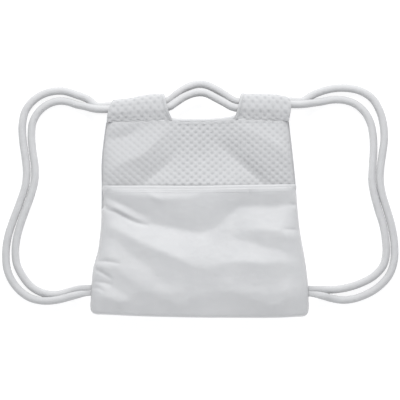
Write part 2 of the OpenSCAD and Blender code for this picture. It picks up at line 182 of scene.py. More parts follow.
studio = {
    "worldColor": (0.97, 0.98, 1.0, 1),
    "worldStrength": 0.63,
    "keyLight": {"place": (0.0, 1.75, 1.40), "aim": (0, 0, 0), "size": 1.3, "power": 46},
    "fillLight": {"place": (0.0, -0.9, 0.16), "aim": (0, -0.1, 0.02), "size": 0.6, "power": 1.4},
    "floorSize": 12,
    "floorLevel": -0.0003,
    "floorColor": (0.33, 0.33, 0.335, 1),
    "floorRoughness": 0.9,
    "floorSpecular": 0.1,
    "floorGlow": 0.79,
}
scene = bpy.context.scene
scene.view_settings.view_transform = "Standard"
scene.view_settings.look = "None"
world = bpy.data.worlds.new("softBox")
scene.world = world
world.use_nodes = True
world.node_tree.nodes["Background"].inputs["Color"].default_value = studio["worldColor"]
world.node_tree.nodes["Background"].inputs["Strength"].default_value = studio["worldStrength"]
for name in ("keyLight", "fillLight"):
    setup = studio[name]
    bpy.ops.object.light_add(type="AREA", location=setup["place"])
    light = bpy.context.object
    light.name = name
    light.data.size = setup["size"]
    light.data.energy = setup["power"]
    towards = Vector(setup["aim"]) - Vector(setup["place"])
    light.rotation_euler = towards.to_track_quat("-Z", "Y").to_euler()

clearSelection()
bpy.ops.mesh.primitive_plane_add(size=studio["floorSize"], location=(0, 0, studio["floorLevel"]))
floor = bpy.context.object
floor.name = "lightTable"
floorMaterial = bpy.data.materials.new("lightTable")
floorMaterial.use_nodes = True
floorShader = floorMaterial.node_tree.nodes["Principled BSDF"]
floorShader.inputs["Base Color"].default_value = studio["floorColor"]
floorShader.inputs["Roughness"].default_value = studio["floorRoughness"]
floorShader.inputs["Specular IOR Level"].default_value = studio["floorSpecular"]
floorShader.inputs["Emission Color"].default_value = (1, 1, 1, 1)
floorShader.inputs["Emission Strength"].default_value = studio["floorGlow"]
floor.data.materials.append(floorMaterial)
print("camera and light table ready")


# materials

def newMaterial(name, look):
    material = bpy.data.materials.new(name)
    material.use_nodes = True
    tree = material.node_tree
    shader = tree.nodes["Principled BSDF"]
    shader.inputs["Roughness"].default_value = look["roughness"]
    shader.inputs["Sheen Weight"].default_value = look["sheen"]
    shader.inputs["Sheen Roughness"].default_value = 0.4
    shader.inputs["Specular IOR Level"].default_value = look["specular"]
    return material, tree, shader


def mathNode(tree, operation, first, second=None):
    node = tree.nodes.new("ShaderNodeMath")
    node.operation = operation
    for socket, value in zip(node.inputs, (first, second)):
        if isinstance(value, (int, float)):
            socket.default_value = value
        elif value is not None:
            tree.links.new(value, socket)
    return node.outputs[0]


def clothMap(tree):
    return tree.nodes.new("ShaderNodeTexCoord").outputs["UV"]


def threads(tree, coordinate, acrossPerCm, alongPerCm):  # plain weave, as a height from -1 to 1
    split = tree.nodes.new("ShaderNodeSeparateXYZ")
    tree.links.new(coordinate, split.inputs[0])
    warp = mathNode(tree, "SINE", mathNode(tree, "MULTIPLY", split.outputs[0], acrossPerCm * 2 * math.pi))
    weft = mathNode(tree, "SINE", mathNode(tree, "MULTIPLY", split.outputs[1], alongPerCm * 2 * math.pi))
    return mathNode(tree, "MULTIPLY", warp, weft)


def cloudy(tree, scale, detail):  # slow variation over the piece, from its own coordinates
    coordinate = tree.nodes.new("ShaderNodeTexCoord").outputs["Object"]
    texture = tree.nodes.new("ShaderNodeTexNoise")
    texture.inputs["Scale"].default_value = scale
    texture.inputs["Detail"].default_value = detail
    tree.links.new(coordinate, texture.inputs["Vector"])
    return texture.outputs["Fac"]


def mottle(tree, shader, look):  # base colour that drifts between two shades
    ramp = tree.nodes.new("ShaderNodeValToRGB")
    ramp.color_ramp.elements[0].color = (*look["dark"], 1)
    ramp.color_ramp.elements[1].color = (*look["light"], 1)
    ramp.color_ramp.elements[0].position = 0.3
    ramp.color_ramp.elements[1].position = 0.7
    tree.links.new(cloudy(tree, *look["clouds"]), ramp.inputs[0])
    tree.links.new(ramp.outputs[0], shader.inputs["Base Color"])


def addBump(tree, shader, height, look):
    bump = tree.nodes.new("ShaderNodeBump")
    bump.inputs["Strength"].default_value = look["bump"]
    bump.inputs["Distance"].default_value = look["bumpDepth"]
    tree.links.new(height, bump.inputs["Height"])
    tree.links.new(bump.outputs[0], shader.inputs["Normal"])


def satinMaterial():
    look = {
        "dark": (0.560, 0.565, 0.575), "light": (0.588, 0.592, 0.600), "clouds": (38, 3),
        "roughness": 0.42, "sheen": 0.1, "specular": 0.5,
        "threadsPerCm": (20, 24), "bump": 0.25, "bumpDepth": 0.0002,
    }
    material, tree, shader = newMaterial("satinWeave", look)
    mottle(tree, shader, look)
    addBump(tree, shader, threads(tree, clothMap(tree), *look["threadsPerCm"]), look)
    return material


def meshMaterial():
    look = {
        # the darker colour below is painted shade for the holes; the lighter one is the knit's own colour
        "shadedHole": (0.470, 0.475, 0.485), "puff": (0.560, 0.564, 0.572), "holeShadePower": 1.6,
        "roughness": 0.85, "sheen": 0.05, "specular": 0.15,
        "threadsPerCm": (11, 16.5), "fuzz": (900, 2), "fuzzShare": 0.8, "bump": 0.3, "bumpDepth": 0.0003,
    }
    material, tree, shader = newMaterial("dimpledKnit", look)
    # painted shade: a mask kept on the piece mixes the darker colour into the holes of the knit
    shadedHole = tree.nodes.new("ShaderNodeAttribute")
    shadedHole.attribute_name = "dimpleShade"
    shade = tree.nodes.new("ShaderNodeMix")
    shade.data_type = "RGBA"
    shade.inputs[6].default_value = (*look["puff"], 1)
    shade.inputs[7].default_value = (*look["shadedHole"], 1)
    tree.links.new(mathNode(tree, "POWER", shadedHole.outputs["Fac"], look["holeShadePower"]), shade.inputs[0])
    tree.links.new(shade.outputs[2], shader.inputs["Base Color"])
    stitches = threads(tree, clothMap(tree), *look["threadsPerCm"])
    fuzz = mathNode(tree, "MULTIPLY", cloudy(tree, *look["fuzz"]), look["fuzzShare"])
    addBump(tree, shader, mathNode(tree, "ADD", stitches, fuzz), look)
    return material


def cordMaterial():
    look = {
        "dark": (0.540, 0.543, 0.550), "light": (0.572, 0.575, 0.581), "clouds": (120, 4),
        "roughness": 0.9, "sheen": 0.5, "specular": 0.1,
        "threadsPerCm": (13, 17), "fuzz": (1500, 2), "bump": 0.25, "bumpDepth": 0.0002,
    }
    material, tree, shader = newMaterial("braidedCotton", look)
    mottle(tree, shader, look)
    fibre = threads(tree, clothMap(tree), *look["threadsPerCm"])
    addBump(tree, shader, mathNode(tree, "ADD", fibre, cloudy(tree, *look["fuzz"])), look)
    return material


def tapeMaterial():
    look = {
        "dark": (0.50, 0.505, 0.515), "light": (0.56, 0.565, 0.575), "clouds": (60, 3),
        "roughness": 0.75, "sheen": 0.15, "specular": 0.3,
        "threadsPerCm": (6, 14), "bump": 0.4, "bumpDepth": 0.0003,
    }
    material, tree, shader = newMaterial("ribbedTape", look)
    mottle(tree, shader, look)
    addBump(tree, shader, threads(tree, clothMap(tree), *look["threadsPerCm"]), look)
    return material


def threadMaterial():
    look = {
        "dark": (0.60, 0.605, 0.615), "light": (0.70, 0.705, 0.715), "clouds": (300, 2),
        "roughness": 0.6, "sheen": 0.2, "specular": 0.35,
        "fuzz": (2500, 2), "bump": 0.3, "bumpDepth": 0.0002,
    }
    material, tree, shader = newMaterial("sewingThread", look)
    mottle(tree, shader, look)
    addBump(tree, shader, cloudy(tree, *look["fuzz"]), look)
    return material


satin = satinMaterial()
dimpledKnit = meshMaterial()
braidedCotton = cordMaterial()
ribbedTape = tapeMaterial()
sewingThread = threadMaterial()
print("materials ready")


# cords; a place on the ground has two numbers, or a third where the cord is lifted

cordSetup = {
    "radius": 5.6,
    "ground": 5.8,
    "sides": 32,
    "step": 0.9,
    "braidAround": 8,
    "braidPitch": 5.0,
    "braidDepth": 0.05,
    "braidSharpness": 0.7,
    "sewnHeight": 0.8,
    "sewnWidth": 3.9,
    "flattenLength": 26,
    "bendFrom": 0.166,
    "bendTo": 0.216,
    "bendLevel": 0.005,
}

strands = {
    "leftFrontStrap": {
        "run": [(-66, 141.5, 27.3), (-90, 141, 27.3), (-116, 140.2, 27.3), (-132, 139.6, 27.2)],
        "stub": [(-146, 139.6, 24.9), (-157, 141.6, 17.2), (-167, 144.6, 9.5)],
        "ground": [
            (-178.3, 147), (-192, 151.4), (-206, 152.4), (-220, 148.2), (-233.8, 137.8), (-243, 122),
            (-245, 104), (-243.6, 82), (-240.2, 58), (-240, 40), (-245, 18), (-253.5, -6),
            (-261.5, -28.5), (-267, -50.5), (-268.4, -68.5), (-266.4, -85), (-258.6, -101.6),
            (-243.8, -119.2), (-224.4, -128.4), (-206, -129.4), (-191.7, -125.8),
        ],
        "foot": [(-179, -122, 9.2), (-168, -119.6, 14.6), (-157.8, -118.8, 17.2), (-150.5, -118.8, 17.2)],
        "replaces": ("left_front_strap_cord", "front_left_cord_run", "left_cord_ends"),
        "body": "left_strap",
    },
    "leftBackStrap": {
        "run": [(-66, 150.2, 7.1), (-90, 148.5, 7.1), (-116, 146.6, 7.1), (-132, 145.5, 7.1)],
        "stub": [(-150, 145.5, 6.8), (-164, 155.8, 6)],
        "ground": [
            (-177.7, 161), (-200, 167.2), (-223, 164.4), (-242, 153.6), (-254, 138), (-258.4, 118),
            (-257.4, 94), (-254.2, 71.5), (-252, 49), (-253.6, 31.5), (-261.8, 5), (-272, -22),
            (-279.5, -46), (-282.4, -73), (-280.4, -93), (-269, -116.2), (-248, -133.8, 7),
            (-222.4, -138.6, 11.8), (-206, -136.8, 14.2), (-192.3, -133.4, 14.9),
        ],
        "foot": [(-179, -129.8, 16.4), (-168, -127.6, 17), (-157.8, -126.8, 17.2), (-150.5, -126.8, 17.2)],
        "replaces": ("left_back_strap_cord", "back_left_cord_run", "left_cord_ends"),
        "body": "left_strap",
    },
    "rightFrontStrap": {
        "run": [(68, 142.4, 27.3), (90, 143.8, 27.3), (116, 145.6, 27.3), (132, 146.6, 27.2)],
        "stub": [(146, 146.6, 24.9), (157, 148, 17.2), (167, 149.8, 9.5)],
        "ground": [
            (178.1, 151.6), (193, 154.3), (210, 153.9), (226, 148.8), (239.8, 137.6), (248.6, 122.5),
            (253, 102.5), (253.8, 82.5), (252.4, 58), (251.4, 38), (254.4, 18), (260.8, -6),
            (267.8, -28.5), (271.4, -50.5), (272.2, -68.5), (268.2, -86.4), (254.4, -102.4),
            (234.2, -113.4), (212, -120.2), (191.7, -122.6),
        ],
        "foot": [(179, -122, 9.6), (168, -120.8, 14.8), (157.8, -120, 17.2), (150.5, -120, 17.2)],
        "replaces": ("right_front_strap_cord", "front_right_cord_run", "right_cord_ends"),
        "body": "right_strap",
    },
    "rightBackStrap": {
        "run": [(68, 151.2, 7.1), (90, 151.7, 7.1), (116, 152.2, 7.1), (132, 152.5, 7.1)],
        "stub": [(150, 152.5, 6.8), (164, 160.8, 6)],
        "ground": [
            (177.4, 166.5), (194, 170.6), (214.2, 171.4), (235, 167), (251.4, 156.6), (261.8, 140.4),
            (267.8, 120), (269.4, 98), (266.8, 76), (264, 56), (263.2, 36), (266, 18), (272, -2),
            (279.8, -28.5), (284.2, -57.5), (283.6, -80.5), (276.4, -101.2), (260.4, -118.8),
            (237.8, -131.6), (212, -137.6), (192.4, -135, 8.8),
        ],
        "foot": [(179, -131, 15), (168, -128.8, 16.8), (157.8, -127.8, 17.2), (150.5, -127.8, 17.2)],
        "replaces": ("right_back_strap_cord", "back_right_cord_run", "right_cord_ends"),
        "body": "right_strap",
    },
}

handles = {
    "frontHandle": {
        "points": [
            (-66, 141.5, 27.3), (-58, 141.5, 27.3), (-50, 141.5, 27.3), (-43, 143.7, 26.7),
            (-35.5, 148.8, 24.5), (-21, 158.2, 20.8), (-6.5, 163.4, 18.9), (2, 164.2, 18.6),
            (10, 162.8, 19.2), (22.5, 156.6, 21.4), (37, 148.7, 24.8), (46, 143.6, 26.6),
            (54, 141.4, 27.2), (61, 141.3, 27.3), (68, 141.5, 27.3),
        ],
        "replaces": "front_handle_cord",
        "body": "front_handle",
    },
    "backHandle": {
        "points": [
            (-66, 151, 7.1), (-58, 151, 7.1), (-50.5, 151, 7.1), (-43.5, 154.2, 7.1),
            (-35.5, 160.8, 7.1), (-21, 170.8, 7.1), (-6.5, 176.4, 7.1), (1, 177.2, 7.1),
            (9, 176, 7.1), (22.5, 170.2, 7.1), (37, 161.4, 7.1), (47, 154.6, 7.1), (55, 151.4, 7.1),
            (61.5, 151, 7.1), (68, 151, 7.1),
        ],
        "replaces": "back_handle_cord",
        "body": "back_handle",
    },
}


def braidRelief(angle, along):  # shallow diamonds of a round braid
    turn = cordSetup["braidAround"] / 2 * angle
    climb = along * math.pi / cordSetup["braidPitch"]
    strand = np.abs(np.cos(turn + climb) * np.cos(turn - climb)) ** cordSetup["braidSharpness"]
    return cordSetup["braidDepth"] * (strand - 0.5)


def makeCord(name, path, halfWidth, halfHeight):
    cord = sweepTube(name, path, halfWidth, halfHeight, cordSetup["sides"], braidRelief)
    giveMaterial(cord, braidedCotton)
    return cord


for name, strand in strands.items():
    ground = [(*place, cordSetup["ground"])[:3] for place in strand["ground"]]
    path = smoothPath(strand["run"] + strand["stub"] + ground + strand["foot"], cordSetup["step"])
    side = np.sign(path[-1, 0])
    seam = strand["foot"][2]
    toSeam = np.linalg.norm(path - np.array(seam), axis=1)
    toSeam[path[:, 0] * side < abs(seam[0])] = 0  # inside the seam
    toSeam[path[:, 1] > 0] = cordSetup["flattenLength"]  # the upper half stays round
    roundness = smoothStep(toSeam / cordSetup["flattenLength"])
    halfHeight = cordSetup["sewnHeight"] + (cordSetup["radius"] - cordSetup["sewnHeight"]) * roundness
    halfWidth = cordSetup["sewnWidth"] + (cordSetup["radius"] - cordSetup["sewnWidth"]) * roundness
    cord = makeCord(name, path, halfWidth, halfHeight)
    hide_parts(*strand["replaces"])
    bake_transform(cord)
    print(name, "length", round(pathLength(path)), "mm")

for name, handle in handles.items():
    path = smoothPath(handle["points"], cordSetup["step"])
    cord = makeCord(name, path, cordSetup["radius"], cordSetup["radius"])
    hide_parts(handle["replaces"])
    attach(cord, handle["body"])
    print(name, "length", round(pathLength(path)), "mm")


# outline of the sewn bag, seen from the front

bagShape = {
    "leftEdge": [
        (-166, -158.2), (-148, -158.2), (-113, -156.6), (-97, -155.2), (-85, -153.0), (-76, -149.6),
        (-68, -147.8), (-50, -145.2), (-27, -142.8), (-2, -142.4), (30, -142.2), (63, -142.3),
        (100, -138.6), (126, -134.6),
    ],
    "rightEdge": [
        (-166, 158.0), (-148, 158.2), (-122, 158.0), (-90, 154.7), (-34, 145.3), (0, 141.8),
        (33, 139.6), (75, 135.4), (126, 129.4),
    ],
    "bottomLine": [
        (-158, -157.4), (-125, -158.8), (-90, -160.4), (-20, -162.2), (60, -162.8), (115, -162.6),
        (157, -160.4),
    ],
    "topLine": [
        (-133, 121.0), (-90, 122.2), (-42, 123.2), (-29, 121.6), (0, 121.4), (31, 122.4), (52, 125.4),
        (90, 124.4), (130, 123.0),
    ],
    "baseHalf": 150,
    "corner": 9,
    "rimFront": 18.1,
    "rimBack": 16.2,
    "sideRollMouth": 18,
    "sideRollBelly": 40,
    "edgePower": 2.8,
    "bellyY": 20,
    "mouthY": 122,
}


def fullness(y):
    return smoothStep((bagShape["mouthY"] - y) / (bagShape["mouthY"] - bagShape["bellyY"]))


def layOut(u, share, lowLine, highLine, inset=0):  # x and y over the outline, and the edges beside them
    across = -bagShape["baseHalf"] + 2 * bagShape["baseHalf"] * u
    low = throughKnots(across, lowLine) + inset
    y = low + (throughKnots(across, highLine) - low) * share
    radius = bagShape["corner"]
    cut = radius - np.clip(y - low, 0, radius)
    cut = radius - np.sqrt(radius * radius - cut * cut)
    left = throughKnots(y, bagShape["leftEdge"]) + inset + cut
    right = throughKnots(y, bagShape["rightEdge"]) - inset - cut
    return left + (right - left) * u, y, left, right, low


def edgeRise(distance, roll):
    power = bagShape["edgePower"]
    return (1 - (1 - np.clip(distance / roll, 0, 1)) ** power) ** (1 / power)


def sideRise(x, y, left, right):  # share of the full height, from the nearer side seam inwards
    roll = bagShape["sideRollMouth"] + (bagShape["sideRollBelly"] - bagShape["sideRollMouth"]) * fullness(y)
    side = np.minimum(x - left, right - x)
    return edgeRise(side, roll), side


def relaxFolds(obj, x, y, creases, rimIndex, passes, rounding):
    # the sheet is pinned along its crease lines and at its edge, and goes taut between them
    tree = kdtree.KDTree(len(x))
    for index in range(len(x)):
        tree.insert((x[index], y[index], 0), index)
    tree.balance()
    height = np.zeros(len(x))
    pinned = set(rimIndex.tolist())
    for crease in creases:
        for px, py, lift in smoothPath(crease, 0.6):
            index = tree.find((px, py, 0))[1]
            height[index] = lift
            pinned.add(index)
    setPoints(obj, np.stack([x, y, height], axis=1) * mm)
    free = obj.vertex_groups.new(name="free")
    free.add([index for index in range(len(x)) if index not in pinned], 1, "REPLACE")
    applyModifier(
        obj, "SMOOTH", factor=0.9, iterations=passes, use_x=False, use_y=False, vertex_group="free"
    )
    applyModifier(obj, "SMOOTH", factor=0.5, iterations=rounding, use_x=False, use_y=False)
    obj.vertex_groups.clear()
    return getPoints(obj)[:, 2] / mm


def crumple(x, y, lift, scale, seed):  # slow even noise, up and down by the lift
    return lift * np.array([noise.noise((px / scale, py / scale, seed)) for px, py in zip(x, y)])


def crease(x, y, line, lift, width):  # a sharp narrow ridge or groove along a line
    path = smoothPath([(px, py, 0) for px, py in line], 1.0)
    gap = np.full(len(x), 1e9)
    place = np.zeros(len(x))
    for k, (px, py) in enumerate(path[:, :2]):
        d = np.hypot(x - px, y - py)
        place = np.where(d < gap, k / (len(path) - 1), place)
        gap = np.minimum(gap, d)
    return lift * np.exp(-(gap / width) ** 1.5) * np.sin(np.pi * (0.15 + 0.7 * place))


def finishSheet(obj, material, thickness, node):
    applyModifier(obj, "SOLIDIFY", thickness=thickness * mm, offset=-1, use_rim=True, use_even_offset=False)
    shadeSmooth(obj)
    giveMaterial(obj, material)
    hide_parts(node)
    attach(obj, "bag")


def gridEdge(u, v, sides):  # vertices on the named sides of a grid
    near = 1e-5
    found = np.zeros(len(u), bool)
    for test in sides:
        found |= {"left": u < near, "right": u > 1 - near, "low": v < near, "high": v > 1 - near}[test]
    return np.nonzero(found)[0]


knit = {
    "pitchAcross": 11.8,
    "pitchAlong": 10.0,
    "depth": 0.95,
    "channelPitch": 11.2,
    "channelDepth": 0.7,
    "channelSlant": 0.15,
    "spread": 0.25,
    "sharpness": 1.4,
}


def dimples(x, y, pitchAlong, slant):
    # 1 at the bottom of each dimple and 0 on the puffs; the slant stretches them to ribs; the same mask
    # sinks the dimples and paints shade into them
    first = np.cos(2 * np.pi * (x / knit["pitchAcross"] + y / pitchAlong))
    second = np.cos(2 * np.pi * (x / knit["pitchAcross"] - y / pitchAlong))
    level = (first * (1 + slant) + second * (1 - slant)) / 2
    return np.clip((level + knit["spread"]) / (1 + knit["spread"]), 0, 1) ** knit["sharpness"]


# the mask kept on the piece, which the knit material turns into painted shade in the holes
def storeDimpleShade(obj, value):
    attribute = obj.data.attributes.new("dimpleShade", "FLOAT", "POINT")
    attribute.data.foreach_set("value", value.astype(np.float32))


# smooth pocket over the lower front

pocket = {
    "columns": 200,
    "rows": 130,
    "topLine": [(-143, 24.6), (-70, 24.6), (0, 24.4), (70, 25.6), (141, 26.6)],
    "crest": 42,
    "nose": 0.74,
    "noseRoll": 5,
    "bandPower": 1.3,
    "foldLift": 1.45,
    "passes": 1500,
    "rounding": 26,
    "settle": 3,
    "cornerIn": 3.6,
    "cornerFoot": -7,
    "cornerRun": 7,
    "cornerEase": 0.7,
    "cornerEaseRun": 28,
    "tuckFade": 3,
    "sideFade": 8,
    "lowFade": 16,
    "broadCrumple": (0.45, 26, 1.5),  # lift, scale and seed
    "fineCrumple": (0.18, 9, 7.5),
    "fineStretch": 1.6,
    "cut": (315, 184),
    "thickness": 0.9,
    "bandLine": [
        (-158, -131), (-130, -132), (-108, -137), (-97, -126), (-79, -123.5), (-57, -130),
        (-43, -134), (-31, -140), (-14, -131), (8, -124), (30, -122.5), (51, -124.5), (73, -131.5),
        (91, -138), (109.5, -141), (121, -134), (138, -128), (158, -126.5),
    ],
    "folds": [  # x, y and height along each crease line
        [(-128, 18, 0.6), (-100, 17, 1), (-85, 15.5, 1.3), (-64, 12, 1.7), (-46, 10.5, 1.9),
         (-28, 11.5, 1.8), (-10, 14, 1.3), (6, 17.5, 0.8), (30, 20, 0.5), (66, 21, 0.4),
         (100, 20.5, 0.4), (128, 20, 0.3)],
        [(-138, -3, -1.6), (-115, -13, -3), (-98, -19, -3.4), (-80, -23.5, -3.6), (-46, -31, -3.6),
         (-28, -35, -3.7), (-11, -38, -3.8), (6, -38.5, -3.8), (24, -29.5, -3.7), (41, -15, -3.5),
         (58, -1.5, -3.4), (76, -0.5, -3.3), (111, -0.5, -3.3), (128, 3, -2.6), (138, 4, -1.6)],
        [(-132, -30, 0.6), (-115, -35.5, 1.4), (-98, -46, 2.2), (-80, -54, 3.1), (-63, -62.7, 4),
         (-46, -68.5, 4.7), (-28, -77, 4.8), (-11, -85, 4.2), (6, -90, 3.5), (41, -82, 4.4),
         (59, -80, 5), (76, -81, 5.1), (94, -83, 4.6), (111, -80.5, 3.6), (128, -84, 2.8),
         (142, -88, 1.5)],
        [(-137, -45, -0.4), (-115, -53, 0), (-98, -70, 0.3), (-80, -82, 0.7), (-63, -99, 1.5),
         (-46, -113.5, 2), (-28, -126, 2.4)],
        [(-138, -62, 0.8), (-133, -70, 1.6), (-115, -90, 2.2), (-98, -106, 2.8), (-80, -118, 3),
         (-63, -122, 3.2), (-46, -128, 2.8)],
        [(-150, -101, 0), (-133, -112, -0.6), (-115, -122, 0.4), (-102, -133, 1)],
        [(-146, -122, 1), (-130, -131, 1.4), (-107, -137, 1.6)],
        [(41, -31, -2), (59, -35, -0.7), (76, -35, 1.2), (94, -35, 2), (111, -36, 2.5),
         (128, -44, 2.6), (140, -46, 1.6)],
        [(45, -47, -1.2), (59, -50, -0.8), (76, -53, 0), (94, -60, 0.4), (111, -61.5, 0.7),
         (128, -71, 1.2), (141, -74, 0.8)],
        [(40, -110, 4.2), (59, -113, 3.8), (76, -114, 3.3), (94, -115, 2.6), (111, -109, 2.2),
         (128, -104, 1.8)],
        [(41, -121, 4.2), (76, -125, 3.6), (94, -128, 2.9), (109, -130, 2.7), (128, -120, 2.8),
         (140, -118, 2)],
    ],
    "tucks": [  # a line, its lift and its width
        ([(-147, -80.5), (-132, -80), (-117, -83)], -2, 2.6),
        ([(-153, -90), (-141, -96.5), (-128, -104)], -2, 2.6),
        ([(-152, -109.5), (-140, -110.5), (-129, -113)], -1.3, 2.4),
        ([(-153, -117.5), (-144, -119.5), (-137, -124)], -1.3, 2.2),
        ([(131, 1.5), (143, 0.4)], -2, 2.6),
        ([(124, -33.7), (145, -35.2)], -1.6, 2.6),
        ([(-141, -3), (-120, -9.5), (-107, -16.5), (-95, -22.8), (-76, -28)], -1.8, 2.6),
        ([(-140, 5), (-121, -3), (-107, -10.5), (-94, -17), (-78, -23)], 2.8, 6),
        ([(-138, 13), (-120, 6), (-107, 0), (-93, -8), (-78, -15)], -1.4, 6),
        ([(-149, -85.5), (-127, -92)], 0.8, 3.5),
        ([(70, 24), (73, 16), (71, 10)], -0.9, 2.4),
        ([(-78, 22), (-64, 12), (-52, 6)], 0.8, 5),
    ],
}


def makePocket():
    obj, u, v = addGrid("frontPocket", pocket["columns"], pocket["rows"])
    x, y, left, right, low = layOut(u, v, bagShape["bottomLine"], pocket["topLine"])
    pulledIn = pocket["cornerIn"] * smoothStep((y - pocket["cornerFoot"]) / pocket["cornerRun"])
    pulledIn *= 1 - pocket["cornerEase"] * smoothStep(y / pocket["cornerEaseRun"])
    left = left + pulledIn  # the left end of the mouth sits inside the seam
    x = left + (right - left) * u
    rim = gridEdge(u, v, ("left", "right", "low", "high"))
    fold = relaxFolds(obj, x, y, pocket["folds"], rim, pocket["passes"], pocket["rounding"])
    across, side = sideRise(x, y, left, right)
    band = np.clip((y - low) / (throughKnots(x, pocket["bandLine"]) - low), 0, 1)
    up = pocket["nose"] * edgeRise(y - low, pocket["noseRoll"])
    up += (1 - pocket["nose"]) * (1 - (1 - band) ** pocket["bandPower"])
    fold *= pocket["foldLift"]
    z = bagShape["rimFront"] + (pocket["crest"] + fold - bagShape["rimFront"]) * across * up
    fade = smoothStep(side / pocket["sideFade"]) * smoothStep((y - low) / pocket["lowFade"])
    for line, lift, width in pocket["tucks"]:
        z += crease(x, y, line, lift, width) * smoothStep(side / pocket["tuckFade"])
    fine = crumple(x, y * pocket["fineStretch"], *pocket["fineCrumple"])
    z += crumple(x, y, *pocket["broadCrumple"]) * fade + fine * fade
    setPoints(obj, np.stack([x, y, z], axis=1) * mm)
    sewn = gridEdge(u, v, ("left", "right", "low"))
    seamLevel = z[sewn]
    applyModifier(obj, "SMOOTH", factor=0.5, iterations=pocket["settle"], use_x=False, use_y=False)
    z = getPoints(obj)[:, 2] / mm
    z[sewn] = seamLevel
    setPoints(obj, np.stack([x, y, z], axis=1) * mm)
    scaleUv(obj, *pocket["cut"])
    top = gridEdge(u, v, ("high",))
    top = top[np.argsort(x[top])]
    mouth = np.stack([x[top], y[top], z[top]], axis=1)
    finishSheet(obj, satin, pocket["thickness"], "front_pocket")
    return mouth


pocketMouth = makePocket()
print("pocket sewn on")

hem = {
    "halfWidth": 4.4,
    "halfHeight": 1.25,
    "endShare": 0.5,
    "endLength": 10,
    "sides": 22,
    "every": 6,
    "step": 2.0,
    "stand": -0.1,
}


def makeHem(line):
    path = smoothPath(line[::hem["every"]].tolist() + [line[-1].tolist()], hem["step"])
    ends = np.minimum(np.arange(len(path)), np.arange(len(path))[::-1]) * hem["step"]
    thick = hem["endShare"] + (1 - hem["endShare"]) * smoothStep(ends / hem["endLength"])
    height = hem["halfHeight"] * thick
    path[:, 2] += hem["stand"] - height
    obj = sweepTube("pocketHem", path, hem["halfWidth"], height, hem["sides"])
    giveMaterial(obj, satin)
    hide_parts("pocket_hem")
    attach(obj, "bag")


makeHem(pocketMouth)


# dimpled front panel, from the channels down behind the pocket

panel = {
    "columns": 236,
    "rows": 112,
    "hiddenRows": 0.2,
    "hiddenHeight": 0.625,
    "inset": 1.5,
    "crestMouth": 29.6,
    "crestBelly": 31,
    "rimDrop": 0.3,
    "lowRoll": 30,
    "passes": 1500,
    "rounding": 30,
    "shownFrom": 12,
    "shownRun": 14,
    "puckerLift": 0.35,
    "puckerPitch": 2.3,
    "puckerDrift": (2, 30, 2.0),
    "puckerFade": 8,
    "broadCrumple": (0.4, 24, 3.5),
    "sideFade": 10,
    "sway": (1.4, 60, 9.5),
    "swayAlong": 0.8,
    "plainEdge": 3,
    "cut": (300, 284),
    "thickness": 1.2,
    "folds": [  # x, y and height along each crease line
        [(-138, 45, 1.2), (-111, 61.6, 3), (-79, 76, 3.6), (-63, 92, 2.8), (-47, 110, 1)],
        [(-84, 32, -1.6), (-63, 47, -3.2), (-47, 61.6, -3.4), (-33, 80, -2.6), (-26, 100, -1)],
        [(-137, 95, -1.8), (-118, 98, -2.6), (-104, 101, -2.4), (-88, 110, -1.2)],
        [(-135, 114, 0.4), (-104, 116, 0.6), (-92, 118, 0.3)],
        [(0, 112, 0), (2, 95, -1.2), (4, 78, -2.4), (4, 66, -2.4)],
        [(50, 119, 0.3), (64.5, 112, 1.4), (80.5, 105, 1.6), (96.4, 97, 2.8), (113, 86, 3.6),
         (127, 72, 3), (136, 58, 1.6)],
        [(20, 100, -1.8), (32.6, 86, -4.2), (48.6, 72, -6.6), (64.5, 57.5, -7.8), (80.5, 43, -7),
         (97, 31, -4.2)],
        [(-70, 30, 1), (-40, 30, 3.8), (-20, 30, 5.2), (6, 30, 5.6), (35, 30, 4.8), (58, 29, 2)],
    ],
    "ribs": [  # x, then the slant, and the depth and painted shade of the dimples there
        (-150, 0.3, 0.5), (-100, 0.3, 0.55), (-50, 0.15, 0.75), (-20, 0.05, 1), (20, 0.05, 1),
        (60, 0.1, 0.85), (100, 0.1, 0.85), (145, 0.1, 0.8),
    ],
}


def makePanel():
    obj, u, v = addGrid("frontPanel", panel["columns"], panel["rows"])
    split, height = panel["hiddenRows"], panel["hiddenHeight"]
    share = np.where(v < split, v / split * height, height + (v - split) / (1 - split) * (1 - height))
    x, y, left, right, low = layOut(u, share, bagShape["bottomLine"], bagShape["topLine"], panel["inset"])
    rim = gridEdge(u, v, ("left", "right", "low", "high"))
    fold = relaxFolds(obj, x, y, panel["folds"], rim, panel["passes"], panel["rounding"])
    shown = smoothStep((y - panel["shownFrom"]) / panel["shownRun"])
    level = panel["crestMouth"] + (panel["crestBelly"] - panel["crestMouth"]) * fullness(y) + fold * shown
    across, side = sideRise(x, y, left, right)
    rimLevel = bagShape["rimFront"] - panel["rimDrop"]
    z = rimLevel + (level - rimLevel) * across * edgeRise(y - low, panel["lowRoll"])
    top = throughKnots(x, bagShape["topLine"])
    pucker = np.sin(x / panel["puckerPitch"] + crumple(x, x * 0, *panel["puckerDrift"]))
    z += panel["puckerLift"] * pucker * np.exp(-(top - y) / panel["puckerFade"]) * shown
    z += crumple(x, y, *panel["broadCrumple"]) * smoothStep(side / panel["sideFade"]) * shown
    sway = crumple(x, y, *panel["sway"])
    slant = throughKnots(x, [rib[:2] for rib in panel["ribs"]])
    # painted shade: the dimple mask below sinks the knit and also darkens its colour in the holes
    shadedHole = dimples(x + sway, y + panel["swayAlong"] * sway, knit["pitchAlong"], slant)
    shadedHole *= throughKnots(x, [rib[::2] for rib in panel["ribs"]])
    shadedHole *= smoothStep(side / panel["plainEdge"]) * shown * smoothStep((top - y) / panel["plainEdge"])
    z -= knit["depth"] * shadedHole
    setPoints(obj, np.stack([x, y, z], axis=1) * mm)
    storeDimpleShade(obj, shadedHole)
    scaleUv(obj, *panel["cut"])
    finishSheet(obj, dimpledKnit, panel["thickness"], "front_panel")


makePanel()
print("front panel ready")


# back panel, lying on the ground

